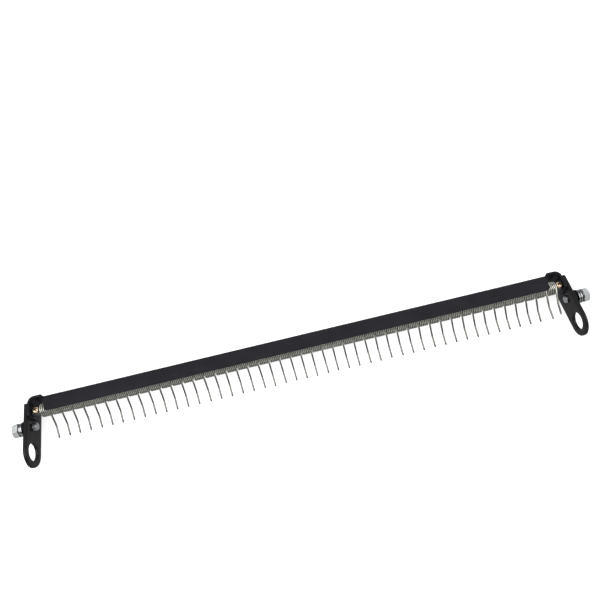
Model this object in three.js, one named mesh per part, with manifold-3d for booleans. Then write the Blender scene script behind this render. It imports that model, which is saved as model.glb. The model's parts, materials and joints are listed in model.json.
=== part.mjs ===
// Sprung comb bar: a folded channel over a rod that carries a close row of torsion-spring tines, hung
// between two drilled end arms. Millimetres, +Z up. The bar lies on the arms' back edges, front face up:
// X runs along the bar, the arms point to -Y, and Z = 0 is the surface that it lies on.
// Inside the model group the origin is on the rod's axis: +Y towards the bar's top, +Z towards its front.
import * as THREE from "three";
import { mergeVertices } from "three/addons/utils/BufferGeometryUtils.js";
import Module from "manifold-3d";

// ---- driving dimensions ----
const TINES = 48;
const PITCH = 11.15; // mean distance from tine to tine, near 7/16 in
const COIL_LENGTH = 10.65; // length of one spring's six close coils
const ROW_SHIFT = 1.4; // the row of springs lies this much to the right of the bar's middle
const ROW_WAVE = { height: 0.64, springs: 22, crest: 18 }; // uneven play: springs bunch up along the rod
const WIRE = 1.7; // spring wire diameter
const COIL_RADIUS = 7.2; // outside of the coils
const COIL_BORE = 5.4; // radius inside the coils
const GAP = 0.3; // clearance between pieces that touch
const TINE_BACK_ANGLE = 46.4; // upper tine, degrees from -Y towards -Z
const TIP_BACK_ANGLE = 26; // lower tine, degrees from -Y towards -Z
const UPPER_TINE = 17.5; // length down to the bend
const LOWER_TINE = 12; // length from the bend to the tip
const TINE_LEAN = 0.037; // sideways drift along the tine, as the helix leaves it
// the last two springs sit slack past the channel's end: degrees swung forward, and their own drift
const SLACK_SPRINGS = { 47: { forward: 12, lean: 0 }, 48: { forward: 30, lean: -0.2 } };

const ROD_RADIUS = 4;
const ROD_FLAT = 3.2; // height of the end flats above the rod's axis

const CHANNEL_HALF = 260.4;
const CHANNEL_FRONT = 9; // front face, ahead of the rod's axis
const CHANNEL_WALL = 1.5;
const CHANNEL_TOP = 11.8;
const FRONT_LIP = -4.9; // lower edge of the front wall
const BACK_LIP = 1.5; // lower edge of the back wall
const CHANNEL_BEND = 2.5; // outside radius of the folds
const LIP_CORNER = 4;

const ARM_INNER = 278; // inner face, from the middle of the bar
const ARM_THICKNESS = 3;
const ARM_WIDTH = 31;
const ARM_FRONT = 8; // front edge, ahead of the rod's axis
const ARM_TOP = 8.8;
const ARM_TOP_CORNER = 2.5;
const SHAFT_HOLE_Y = -38;
const SHAFT_HOLE_RADIUS = 8.8;
const BOLT_Y = -12.3;

const BRACKET_SHEET = 2.3;
const BRACKET_TOP = 14.4;
const BRACKET_BEND = 6.5; // outside radius
const BRACKET_END = 264; // inner end of its flange
const BRACKET_FOOT = -6; // lower edge of its side plate
const BRACKET_WIDTH = 23; // from its front edge, level with the arm's, to its back edge
const FOOT_FRONT_CORNER = 3;
const FOOT_BACK_CORNER = 9;
const TONGUE_END = 246; // flange tongue that lies over the channel
const TONGUE_FRONT = 2;
const TONGUE_BACK = -13;

const BOLT_RADIUS = 4; // M8
const BOLT_BORE = BOLT_RADIUS + GAP;
const HEX_FLATS = 13; // M8 head and nut, across flats
const NUT_HEIGHT = 6;
const FLAT_WASHER = { radius: 7.5, thickness: 1.6 };
const LOCK_WASHER = { radius: 6.9, thickness: 2.1 };
const HEAD_HEIGHT = 6.3;
const BOLT_POKE = 4.1; // thread standing out of the arm's inner face when the bolt is tight
const SLACK = { left: 0, right: 0.7 }; // extra play at each of the three faces of a bolt left loose

const SCREW_HEAD = { radius: 3.4, height: 3, crown: 1.2 };
const SCREW_RADIUS = 2; // M4
const RECESS = { length: 3.8, width: 0.8, depth: 1.4 };

// ---- derived ----
const SIDES = [[-1, "left"], [1, "right"]];
const SPRING_X = Array.from({ length: TINES }, (_, i) => {
  const wave = Math.cos((2 * Math.PI * (i - ROW_WAVE.crest)) / ROW_WAVE.springs);
  return PITCH * (i - (TINES - 1) / 2) + ROW_SHIFT + ROW_WAVE.height * wave;
});
const ROW_END = { left: COIL_LENGTH / 2 - SPRING_X[0], right: SPRING_X[TINES - 1] + COIL_LENGTH / 2 };
const ARM_OUTER = ARM_INNER + ARM_THICKNESS;
const ARM_RADIUS = ARM_WIDTH / 2;
const ARM_MIDDLE = ARM_FRONT - ARM_RADIUS; // Z of the arm's centre line
const ARM_BOTTOM = SHAFT_HOLE_Y - ARM_RADIUS;
const BRACKET_OUTER = ARM_INNER - GAP;
const BRACKET_INNER = BRACKET_OUTER - BRACKET_SHEET;
const SCREW_X = { left: (BRACKET_INNER + ROW_END.left) / 2, right: (BRACKET_INNER + ROW_END.right) / 2 };
const WASHER_START = ARM_OUTER + NUT_HEIGHT + GAP;
const HEAD_START = WASHER_START + FLAT_WASHER.thickness + LOCK_WASHER.thickness + 2 * GAP;
const AXIS_X = (3 * (SLACK.left - SLACK.right)) / 2; // centres the part over its origin, as AXIS_Y does
const AXIS_Y = -(BRACKET_TOP + ARM_BOTTOM) / 2;
const AXIS_Z = ARM_WIDTH - ARM_FRONT; // stands the arms' back edges on Z = 0

const wasm = await Module();
wasm.setup();

// ---- solids ----
/** Turn a closed geometry into a solid that can be joined and cut. */
function solid(geometry) {
  const bare = geometry.index ? geometry.toNonIndexed() : geometry.clone();
  bare.deleteAttribute("normal");
  bare.deleteAttribute("uv");
  const merged = mergeVertices(bare, 1e-4);
  return new wasm.Manifold(
    new wasm.Mesh({
      numProp: 3,
      vertProperties: new Float32Array(merged.attributes.position.array),
      triVerts: new Uint32Array(merged.index.array),
    }),
  );
}

/** Turn a solid back into a geometry. */
function geometryOf(body) {
  const mesh = body.getMesh();
  const geometry = new THREE.BufferGeometry();
  geometry.setAttribute("position", new THREE.BufferAttribute(mesh.vertProperties, 3));
  geometry.setIndex(new THREE.BufferAttribute(mesh.triVerts, 1));
  return geometry;
}

/** A round bar along X from x0 to x1, centred on (y, z). */
function barX(radius, x0, x1, y = 0, z = 0, sides = 24) {
  const geometry = new THREE.CylinderGeometry(radius, radius, Math.abs(x1 - x0), sides);
  geometry.rotateZ(Math.PI / 2);
  return geometry.translate((x0 + x1) / 2, y, z);
}

/** A box given by its lowest and highest corners. */
function boxBetween([x0, y0, z0], [x1, y1, z1]) {
  const geometry = new THREE.BoxGeometry(x1 - x0, y1 - y0, z1 - z0);
  return geometry.translate((x0 + x1) / 2, (y0 + y1) / 2, (z0 + z1) / 2);
}

/** Extrude an outline drawn as (Z, Y) along X, from x0 to x1. */
function extrudeX(outline, x0, x1) {
  const geometry = new THREE.ExtrudeGeometry(outline, {
    depth: x1 - x0, bevelEnabled: false, curveSegments: 6,
  });
  geometry.rotateY(Math.PI / 2); // the outline's x becomes -Z and the depth runs along X
  geometry.translate(x0, 0, 0);
  return geometry;
}

// ---- springs ----
/** Direction in the Y-Z plane, turned back from -Y by an angle in degrees. */
function backwards(degrees) {
  const angle = THREE.MathUtils.degToRad(degrees);
  return new THREE.Vector3(0, -Math.cos(angle), -Math.sin(angle));
}

/** Centre line of a tine: off the front of the coil, down to a soft bend, on to the tip. */
function tinePath(lean) {
  const upper = backwards(TINE_BACK_ANGLE);
  const lower = backwards(TIP_BACK_ANGLE);
  const coilMiddle = COIL_RADIUS - WIRE / 2;
  const root = new THREE.Vector3(0, upper.z * coilMiddle, -upper.y * coilMiddle);
  const bend = root.clone().addScaledVector(upper, UPPER_TINE);
  const tip = bend.clone().addScaledVector(lower, LOWER_TINE);
  bend.x = lean * UPPER_TINE;
  tip.x = lean * (UPPER_TINE + LOWER_TINE);
  const easing = 2.5;
  const before = bend.clone().lerp(root, easing / UPPER_TINE);
  const after = bend.clone().lerp(tip, easing / LOWER_TINE);
  const path = new THREE.CurvePath();
  path.add(new THREE.LineCurve3(root, before));
  path.add(new THREE.QuadraticBezierCurve3(before, bend, after));
  path.add(new THREE.LineCurve3(after, tip));
  return path;
}

/** One spring unit about X = 0: the coils as a sleeve on the rod, with the tine at its +X end. */
function springGeometry(lean) {
  const half = COIL_LENGTH / 2;
  const sleeveSides = 12;
  const sleeve = solid(barX(COIL_RADIUS, -half, half, 0, 0, sleeveSides))
    .subtract(solid(barX(COIL_BORE, -half - 1, half + 1, 0, 0, sleeveSides)));
  const section = new THREE.Shape();
  const wireSides = 6;
  for (let i = 0; i < wireSides; i += 1) {
    const angle = (2 * Math.PI * i) / wireSides;
    section[i === 0 ? "moveTo" : "lineTo"]((WIRE / 2) * Math.cos(angle), (WIRE / 2) * Math.sin(angle));
  }
  section.closePath();
  const tine = new THREE.ExtrudeGeometry(section, { steps: 7, extrudePath: tinePath(lean) });
  tine.translate(half - WIRE / 2, 0, 0);
  return geometryOf(sleeve.add(solid(tine)));
}

// ---- channel and rod ----
/** Outline of the folded channel's section, as (-Z, Y) points with rounded folds. */
function channelSection() {
  const outer = CHANNEL_BEND;
  const inner = CHANNEL_BEND - CHANNEL_WALL;
  const front = -CHANNEL_FRONT;
  const back = CHANNEL_FRONT;
  const top = CHANNEL_TOP;
  const shape = new THREE.Shape();
  shape.moveTo(front, FRONT_LIP);
  shape.lineTo(front, top - outer);
  shape.absarc(front + outer, top - outer, outer, Math.PI, Math.PI / 2, true);
  shape.lineTo(back - outer, top);
  shape.absarc(back - outer, top - outer, outer, Math.PI / 2, 0, true);
  shape.lineTo(back, BACK_LIP);
  shape.lineTo(back - CHANNEL_WALL, BACK_LIP);
  shape.lineTo(back - CHANNEL_WALL, top - outer);
  shape.absarc(back - outer, top - outer, inner, 0, Math.PI / 2, false);
  shape.lineTo(front + outer, top - CHANNEL_WALL);
  shape.absarc(front + outer, top - outer, inner, Math.PI / 2, Math.PI, false);
  shape.lineTo(front + CHANNEL_WALL, FRONT_LIP);
  shape.closePath();
  return shape;
}

/** Cutter that rounds one lower corner of the channel's front wall; side is -1 or 1. */
function lipCornerCutter(side) {
  const margin = 2;
  const x = side * CHANNEL_HALF;
  const centre = x - side * LIP_CORNER;
  const y = FRONT_LIP + LIP_CORNER;
  const shape = new THREE.Shape();
  shape.moveTo(x, y);
  shape.absarc(centre, y, LIP_CORNER, side > 0 ? 0 : Math.PI, -Math.PI / 2, side > 0);
  shape.lineTo(centre, FRONT_LIP - margin);
  shape.lineTo(x + side * margin, FRONT_LIP - margin);
  shape.lineTo(x + side * margin, y);
  shape.closePath();
  const depth = CHANNEL_WALL + 2 * margin;
  const geometry = new THREE.ExtrudeGeometry(shape, { depth, bevelEnabled: false, curveSegments: 6 });
  return geometry.translate(0, 0, CHANNEL_FRONT - CHANNEL_WALL - margin);
}

/** Folded sheet channel over the springs, with its front wall's lower corners rounded. */
function channelGeometry() {
  const body = solid(extrudeX(channelSection(), -CHANNEL_HALF, CHANNEL_HALF))
    .subtract(solid(lipCornerCutter(-1)))
    .subtract(solid(lipCornerCutter(1)));
  return geometryOf(body);
}

/** Rod through the springs, with a flat and a cross hole at each end for its screw. */
function rodGeometry() {
  const half = BRACKET_OUTER - GAP;
  let body = solid(barX(ROD_RADIUS, -half, half));
  for (const [side, label] of SIDES) {
    const flatHalf = (BRACKET_INNER - ROW_END[label]) / 2;
    const x = side * SCREW_X[label];
    body = body.subtract(
      solid(boxBetween([x - flatHalf, -ROD_RADIUS - 1, ROD_FLAT], [x + flatHalf, ROD_RADIUS + 1, ROD_RADIUS + 1])),
    );
    const hole = new THREE.CylinderGeometry(SCREW_RADIUS + GAP, SCREW_RADIUS + GAP, 4 * ROD_RADIUS, 16);
    hole.rotateX(Math.PI / 2);
    hole.translate(x, 0, 0);
    body = body.subtract(solid(hole));
  }
  return geometryOf(body);
}

// ---- end pieces; side is -1 for the left and 1 for the right ----
/** Side view of a bracket as a (-Z, Y) outline: straight edges and a foot with rounded corners. */
function bracketSideView() {
  const front = -ARM_FRONT;
  const back = BRACKET_WIDTH - ARM_FRONT;
  const above = BRACKET_TOP + 1;
  const shape = new THREE.Shape();
  shape.moveTo(front, above);
  shape.lineTo(front, BRACKET_FOOT + FOOT_FRONT_CORNER);
  shape.absarc(front + FOOT_FRONT_CORNER, BRACKET_FOOT + FOOT_FRONT_CORNER, FOOT_FRONT_CORNER,
    Math.PI, 1.5 * Math.PI, false);
  shape.lineTo(back - FOOT_BACK_CORNER, BRACKET_FOOT);
  shape.absarc(back - FOOT_BACK_CORNER, BRACKET_FOOT + FOOT_BACK_CORNER, FOOT_BACK_CORNER,
    1.5 * Math.PI, 2 * Math.PI, false);
  shape.lineTo(back, above);
  shape.closePath();
  return shape;
}

/** Bent sheet bracket: a flange over the bar's end, a side plate on the arm, a tongue on the channel. */
function bracketGeometry(side) {
  const outer = BRACKET_BEND;
  const inner = BRACKET_BEND - BRACKET_SHEET;
  const bendX = BRACKET_OUTER - outer;
  const bendY = BRACKET_TOP - outer;
  const start = side > 0 ? 0 : Math.PI;
  const shape = new THREE.Shape();
  shape.moveTo(side * BRACKET_END, BRACKET_TOP - BRACKET_SHEET);
  shape.lineTo(side * bendX, BRACKET_TOP - BRACKET_SHEET);
  shape.absarc(side * bendX, bendY, inner, Math.PI / 2, start, side > 0);
  shape.lineTo(side * BRACKET_INNER, BRACKET_FOOT);
  shape.lineTo(side * BRACKET_OUTER, BRACKET_FOOT);
  shape.lineTo(side * BRACKET_OUTER, bendY);
  shape.absarc(side * bendX, bendY, outer, start, Math.PI / 2, side < 0);
  shape.lineTo(side * BRACKET_END, BRACKET_TOP);
  shape.closePath();
  const depth = BRACKET_WIDTH + 2;
  const sheet = new THREE.ExtrudeGeometry(shape, { depth, bevelEnabled: false, curveSegments: 8 });
  sheet.translate(0, 0, ARM_FRONT + 1 - depth);
  const reach = [side * TONGUE_END, side * (BRACKET_END + 1)].sort((a, b) => a - b);
  const tongue = boxBetween(
    [reach[0], BRACKET_TOP - BRACKET_SHEET, TONGUE_BACK],
    [reach[1], BRACKET_TOP, TONGUE_FRONT],
  );
  const rodHole = barX(ROD_RADIUS + GAP, side * (BRACKET_INNER - 1), side * (BRACKET_OUTER + 1));
  const ends = [side * (TONGUE_END - 1), side * (BRACKET_OUTER + 1)].sort((a, b) => a - b);
  const sideView = solid(extrudeX(bracketSideView(), ends[0], ends[1]));
  return geometryOf(solid(sheet).add(solid(tongue)).intersect(sideView).subtract(solid(rodHole)));
}

/** Outline of an arm as (-Z, Y) points: small corners at the top, a full round at the shaft hole. */
function armOutline() {
  const front = -ARM_FRONT;
  const back = ARM_WIDTH - ARM_FRONT;
  const corner = ARM_TOP_CORNER;
  const shape = new THREE.Shape();
  shape.moveTo(front, SHAFT_HOLE_Y);
  shape.lineTo(front, ARM_TOP - corner);
  shape.absarc(front + corner, ARM_TOP - corner, corner, Math.PI, Math.PI / 2, true);
  shape.lineTo(back - corner, ARM_TOP);
  shape.absarc(back - corner, ARM_TOP - corner, corner, Math.PI / 2, 0, true);
  shape.lineTo(back, SHAFT_HOLE_Y);
  const roundSteps = 20;
  for (let i = 1; i < roundSteps; i += 1) {
    const angle = (-Math.PI * i) / roundSteps;
    shape.lineTo(-ARM_MIDDLE + ARM_RADIUS * Math.cos(angle), SHAFT_HOLE_Y + ARM_RADIUS * Math.sin(angle));
  }
  shape.closePath();
  return shape;
}

/** A hexagonal prism along X between two distances from the bar's middle. */
function hexX(side, from, to) {
  const radius = HEX_FLATS / Math.sqrt(3);
  return barX(radius, side * from, side * to, BOLT_Y, ARM_MIDDLE, 6);
}

/** Flat arm with its shaft hole, and the nut that is welded on its outer face. */
function armGeometry(side) {
  const faces = [side * ARM_INNER, side * ARM_OUTER].sort((a, b) => a - b);
  const plate = solid(extrudeX(armOutline(), faces[0], faces[1]));
  const nut = solid(hexX(side, ARM_OUTER - 0.1, ARM_OUTER + NUT_HEIGHT));
  const bore = [side * (ARM_INNER - 1), side * (ARM_OUTER + NUT_HEIGHT + 1)];
  const shaftHole = solid(barX(SHAFT_HOLE_RADIUS, bore[0], bore[1], SHAFT_HOLE_Y, ARM_MIDDLE, 40));
  const boltHole = solid(barX(BOLT_BORE, bore[0], bore[1], BOLT_Y, ARM_MIDDLE));
  return geometryOf(plate.add(nut).subtract(shaftHole).subtract(boltHole));
}

/** Flat washer and lock washer under a bolt head, as one piece; slack is the play at each face. */
function washerGeometry(side, slack) {
  const start = WASHER_START + slack;
  const middle = start + FLAT_WASHER.thickness;
  const end = middle + LOCK_WASHER.thickness + slack;
  const flat = solid(barX(FLAT_WASHER.radius, side * start, side * middle, BOLT_Y, ARM_MIDDLE));
  const lock = solid(barX(LOCK_WASHER.radius, side * (middle - 0.1), side * end, BOLT_Y, ARM_MIDDLE));
  const bore = solid(barX(BOLT_BORE, side * (start - 1), side * (end + 1), BOLT_Y, ARM_MIDDLE));
  return geometryOf(flat.add(lock).subtract(bore));
}

/** Hexagon bolt, screwed in from outside until its end stands out of the arm's inner face. */
function boltGeometry(side, slack) {
  const under = HEAD_START + 3 * slack;
  const tip = ARM_INNER - BOLT_POKE + 3 * slack;
  const head = solid(hexX(side, under, under + HEAD_HEIGHT));
  const shank = barX(BOLT_RADIUS, side * tip, side * (under + 1), BOLT_Y, ARM_MIDDLE);
  return geometryOf(head.add(solid(shank)));
}

/** Pan-head screw with a cross recess, through the rod's end, head to the front. */
function screwGeometry(x) {
  const seat = ROD_FLAT + GAP;
  const { radius, height, crown } = SCREW_HEAD;
  const profile = [
    [0, -ROD_RADIUS], [SCREW_RADIUS, -ROD_RADIUS], [SCREW_RADIUS, seat], [radius, seat],
    [radius, seat + height - crown], [radius * 0.8, seat + height - crown * 0.35], [0, seat + height],
  ];
  const turned = new THREE.LatheGeometry(profile.map(([r, y]) => new THREE.Vector2(r, y)), 24);
  turned.rotateX(Math.PI / 2);
  let body = solid(turned);
  const low = seat + height - RECESS.depth;
  for (const turn of [0, Math.PI / 2]) {
    const slot = boxBetween(
      [-RECESS.length / 2, -RECESS.width / 2, low],
      [RECESS.length / 2, RECESS.width / 2, seat + height + 1],
    );
    body = body.subtract(solid(slot.rotateZ(turn)));
  }
  return geometryOf(body).translate(x, 0, 0);
}

// ---- materials ----
const paint = () => new THREE.MeshStandardMaterial({ color: 0x34333a, roughness: 0.45, metalness: 0.2 });
const zinc = () => new THREE.MeshStandardMaterial({ color: 0xc9cccd, roughness: 0.3, metalness: 1 });
const springSteel = () => new THREE.MeshStandardMaterial({ color: 0xa6a69d, roughness: 0.4, metalness: 1 });
const yellowZinc = () => new THREE.MeshStandardMaterial({ color: 0xd9b878, roughness: 0.3, metalness: 1 });

// ---- assembly ----
const model = new THREE.Group();
model.position.set(AXIS_X, AXIS_Y, AXIS_Z);

/** Put a mesh in the model: x moves it along the bar, and turn swings it about the rod, in degrees. */
function place(name, geometry, material, x = 0, turn = 0) {
  const mesh = new THREE.Mesh(geometry, material);
  mesh.name = name;
  mesh.position.x = x;
  mesh.rotation.x = THREE.MathUtils.degToRad(turn);
  model.add(mesh);
}

place("channel", channelGeometry(), paint());
place("spring_rod", rodGeometry(), springSteel());
for (const [side, label] of SIDES) {
  place(`end_bracket_${label}`, bracketGeometry(side), paint());
  place(`arm_${label}`, armGeometry(side), paint());
  place(`bolt_${label}`, boltGeometry(side, SLACK[label]), zinc());
  place(`washers_${label}`, washerGeometry(side, SLACK[label]), zinc());
  place(`rod_screw_${label}`, screwGeometry(side * SCREW_X[label]), yellowZinc());
}
const spring = springGeometry(TINE_LEAN);
for (let i = 0; i < TINES; i += 1) {
  const number = String(i + 1).padStart(2, "0");
  const slack = SLACK_SPRINGS[i + 1];
  const geometry = slack ? springGeometry(slack.lean) : spring;
  place(`spring_tine_${number}`, geometry, springSteel(), SPRING_X[i], slack ? -slack.forward : 0);
}

const part = new THREE.Group();
part.add(model);

export default part;
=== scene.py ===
"""Looks of a sprung comb bar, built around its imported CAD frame.

The bar is a folded channel over a rod that carries a close row of torsion springs, whose front legs are the
tines. A bent bracket and a flat arm close each end. Every size below is in millimetres unless its name says
otherwise, and MM turns it to metres. Shapes are worked out about the rod's axis: +X along the bar, +Y to the
bar's top, +Z to its front, which is also the way up when the bar lies on the arms' back edges.
"""

import json
import logging
import math
from dataclasses import dataclass, field
from enum import Enum

import bmesh
import bpy
import numpy as np
from mathutils import Matrix, Vector


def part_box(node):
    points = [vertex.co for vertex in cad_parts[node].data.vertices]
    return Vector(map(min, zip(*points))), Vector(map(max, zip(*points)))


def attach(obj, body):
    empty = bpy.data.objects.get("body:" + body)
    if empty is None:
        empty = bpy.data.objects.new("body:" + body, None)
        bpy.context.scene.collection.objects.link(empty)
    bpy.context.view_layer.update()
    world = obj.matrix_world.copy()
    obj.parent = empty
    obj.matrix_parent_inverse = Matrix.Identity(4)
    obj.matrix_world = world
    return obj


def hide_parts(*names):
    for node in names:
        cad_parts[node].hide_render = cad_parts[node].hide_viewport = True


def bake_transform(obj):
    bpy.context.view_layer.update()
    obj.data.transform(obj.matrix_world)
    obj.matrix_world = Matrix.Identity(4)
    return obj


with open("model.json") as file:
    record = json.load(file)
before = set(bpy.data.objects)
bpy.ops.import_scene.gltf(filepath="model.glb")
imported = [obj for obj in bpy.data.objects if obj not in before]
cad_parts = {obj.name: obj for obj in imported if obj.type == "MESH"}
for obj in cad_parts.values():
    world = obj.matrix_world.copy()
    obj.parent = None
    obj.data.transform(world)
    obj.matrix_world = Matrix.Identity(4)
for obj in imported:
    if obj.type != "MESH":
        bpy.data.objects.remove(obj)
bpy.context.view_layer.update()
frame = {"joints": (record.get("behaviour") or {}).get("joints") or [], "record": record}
LOG = logging.getLogger("comb_bar")
MM = 0.001
FRAME_BODY = "comb_frame"
TURN = 2.0 * math.pi

Tree, Socket = bpy.types.NodeTree, bpy.types.NodeSocket
Material, Object = bpy.types.Material, bpy.types.Object


class Side(Enum):
    """End of the bar that a piece belongs to."""

    LEFT = -1
    RIGHT = 1

    @property
    def label(self) -> str:
        """Name of the end, as the CAD nodes write it."""
        return self.name.lower()


# ---------------------------------------------------------------- frame


def node_box(node: str) -> tuple[np.ndarray, np.ndarray]:
    """Lowest and highest corner of a CAD node, in millimetres about the rod's axis."""
    low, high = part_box(node)
    return (np.array(low) - ROD_CENTRE) / MM, (np.array(high) - ROD_CENTRE) / MM


def x_reach(node: str) -> tuple[float, float]:
    """Nearest and farthest distance of a CAD node from the bar's middle, along the bar."""
    low, high = node_box(node)
    return min(abs(low[0]), abs(high[0])), max(abs(low[0]), abs(high[0]))


def rod_centre() -> np.ndarray:
    """Middle of the rod, in metres in the row frame."""
    low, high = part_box("spring_rod")
    return (np.array(low) + np.array(high)) / 2.0


ROD_CENTRE = rod_centre()


# ---------------------------------------------------------------- surfaces


@dataclass
class Surface:
    """Points, in millimetres about the rod's axis, and the faces between them."""

    points: np.ndarray
    faces: list

    def __add__(self, other: "Surface") -> "Surface":
        """Both surfaces as one."""
        shift = len(self.points)
        moved = [[index + shift for index in face] for face in other.faces]
        return Surface(np.vstack([self.points, other.points]), self.faces + moved)


def grid(points: np.ndarray, close_rows: bool = False, close_columns: bool = False,
         caps: bool = False) -> Surface:
    """Quads over a rows-by-columns array of points.

    Args:
        points: Array of shape (rows, columns, 3).
        close_rows: Joins the last row to the first.
        close_columns: Joins the last column to the first.
        caps: Closes the first and the last row with a flat face each.

    Returns:
        The surface.
    """
    rows, columns = points.shape[:2]
    row, column = np.meshgrid(
        np.arange(rows if close_rows else rows - 1),
        np.arange(columns if close_columns else columns - 1), indexing="ij",
    )
    next_row, next_column = (row + 1) % rows, (column + 1) % columns
    quads = np.stack([
        row * columns + column, row * columns + next_column,
        next_row * columns + next_column, next_row * columns + column,
    ], axis=-1)
    faces = quads.reshape(-1, 4).tolist()
    if caps:
        faces.append(np.arange(columns)[::-1].tolist())
        faces.append(((rows - 1) * columns + np.arange(columns)).tolist())
    return Surface(points.reshape(-1, 3), faces)


def joined(x: np.ndarray, y: np.ndarray, z: np.ndarray) -> np.ndarray:
    """Array of (x, y, z) points from three arrays that are stretched to one shape."""
    return np.stack(np.broadcast_arrays(x, y, z), axis=-1)


def around(x: np.ndarray, radius: np.ndarray, angle: np.ndarray, centre: tuple, side: Side) -> np.ndarray:
    """Points (x, r cos a, r sin a) about an axis along X through centre; the left side mirrors x."""
    return joined(side.value * x, centre[0] + radius * np.cos(angle), centre[1] + radius * np.sin(angle))


def corner_inset(height: np.ndarray, corner: float) -> np.ndarray:
    """How far a rounded corner of radius c draws in at a height h: c - sqrt(c^2 - (c - h)^2)."""
    inside = np.clip(corner - height, 0.0, corner)
    return corner - np.sqrt(corner ** 2 - inside ** 2)


def turned(profile: np.ndarray, centre: tuple, side: Side, steps: int = 64) -> Surface:
    """A profile of (x, radius) turned about an axis along X.

    Every point goes round a circle: (x, r cos a, r sin a), with a from 0 to a full turn.

    Args:
        profile: Array of (x, radius); a last point at radius 0 closes the end.
        centre: (y, z) of the axis.
        side: The left side mirrors x.
        steps: Points round the circle.

    Returns:
        The surface, open between the first and the last profile point unless both are on the axis.
    """
    angle = np.linspace(0.0, TURN, steps, endpoint=False)
    return grid(around(profile[:, :1], profile[:, 1:], angle, centre, side), close_columns=True)


def rounded_path(corners: list, radii: list, arc_steps: int = 8) -> np.ndarray:
    """A path of straight runs, with each inner corner turned into an arc.

    The arc of radius r starts and ends r tan(turn / 2) from the corner, about a centre that lies r to the
    inside of both runs.

    Args:
        corners: (a, b) points.
        radii: One radius for each inner corner.
        arc_steps: Steps along each arc.

    Returns:
        Array of (a, b) points.
    """
    corner = np.array(corners, float)
    pieces = [corner[:1]]
    for index, radius in enumerate(radii, start=1):
        before = corner[index - 1] - corner[index]
        after = corner[index + 1] - corner[index]
        before /= np.linalg.norm(before)
        after /= np.linalg.norm(after)
        half = 0.5 * math.acos(float(np.clip(before @ after, -1.0, 1.0)))
        reach = radius / math.tan(half)
        bisector = (before + after) / np.linalg.norm(before + after)
        centre = corner[index] + bisector * radius / math.sin(half)
        start = corner[index] + before * reach - centre
        end = corner[index] + after * reach - centre
        sweep = math.atan2(start[0] * end[1] - start[1] * end[0], float(start @ end))
        angle = np.linspace(0.0, sweep, arc_steps + 1)[:, None]
        across = np.array([-start[1], start[0]])
        pieces.append(centre + start * np.cos(angle) + across * np.sin(angle))
    pieces.append(corner[-1:])
    return np.vstack(pieces)


def densify(path: np.ndarray, longest: float) -> np.ndarray:
    """Split each run of a path so that no step is longer than a length."""
    steps = np.maximum(1, np.ceil(np.linalg.norm(np.diff(path, axis=0), axis=1) / longest)).astype(int)
    parts = [np.linspace(a, b, n, endpoint=False) for a, b, n in zip(path[:-1], path[1:], steps)]
    return np.vstack(parts + [path[-1:]])


def swept_wire(path: np.ndarray, radius: float | np.ndarray, sides: int) -> Surface:
    """A round wire along a path that always runs nearly across X.

    At each point the section is P + r (N cos a + B sin a), where B is X made square to the path and N is
    square to both. The last rings close in, so that each end is a cut face with a broken edge.

    Args:
        path: Array of centre points.
        radius: Wire radius, or one radius for each point.
        sides: Points round the wire.

    Returns:
        The closed surface.
    """
    tangent = np.gradient(path, axis=0)
    tangent /= np.linalg.norm(tangent, axis=1, keepdims=True)
    binormal = np.array([1.0, 0.0, 0.0]) - tangent[:, :1] * tangent
    binormal /= np.linalg.norm(binormal, axis=1, keepdims=True)
    normal = np.cross(binormal, tangent)
    size = np.broadcast_to(np.asarray(radius, float), len(path))
    shrink = 0.25
    edge = shrink * size[0]
    path = np.vstack([path[0] - tangent[0] * edge, path, path[-1] + tangent[-1] * edge])
    normal = np.vstack([normal[:1], normal, normal[-1:]])
    binormal = np.vstack([binormal[:1], binormal, binormal[-1:]])
    size = np.concatenate([(1.0 - shrink) * size[:1], size, (1.0 - shrink) * size[-1:]])
    angle = np.linspace(0.0, TURN, sides, endpoint=False)
    offset = normal[:, None] * np.cos(angle)[None, :, None] + binormal[:, None] * np.sin(angle)[None, :, None]
    return grid(path[:, None] + size[:, None, None] * offset, close_columns=True, caps=True)


def weld_bead(start: tuple, end: tuple, radius: float) -> Surface:
    """Rippled weld bead between two points, across X.

    A round section whose radius is r (1 + 0.16 cos 2 pi s / pitch) at a distance s along the bead, so that
    each puddle stands out from the next.
    """
    a, b = np.array(start, float), np.array(end, float)
    length = float(np.linalg.norm(b - a))
    pitch, ripple, rings_each, sides = 1.5, 0.16, 8, 12
    s = np.linspace(0.0, length, max(rings_each, int(length / pitch * rings_each)))
    size = radius * (1.0 + ripple * np.cos(TURN * s / pitch))
    return swept_wire(a + (b - a) * (s / length)[:, None], size, sides)


# ---------------------------------------------------------------- pieces


def applied(piece: Object) -> Object:
    """Bake a piece's modifiers into its mesh."""
    graph = bpy.context.evaluated_depsgraph_get()
    mesh = bpy.data.meshes.new_from_object(piece.evaluated_get(graph))
    piece.modifiers.clear()
    piece.data = mesh
    return piece


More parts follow.
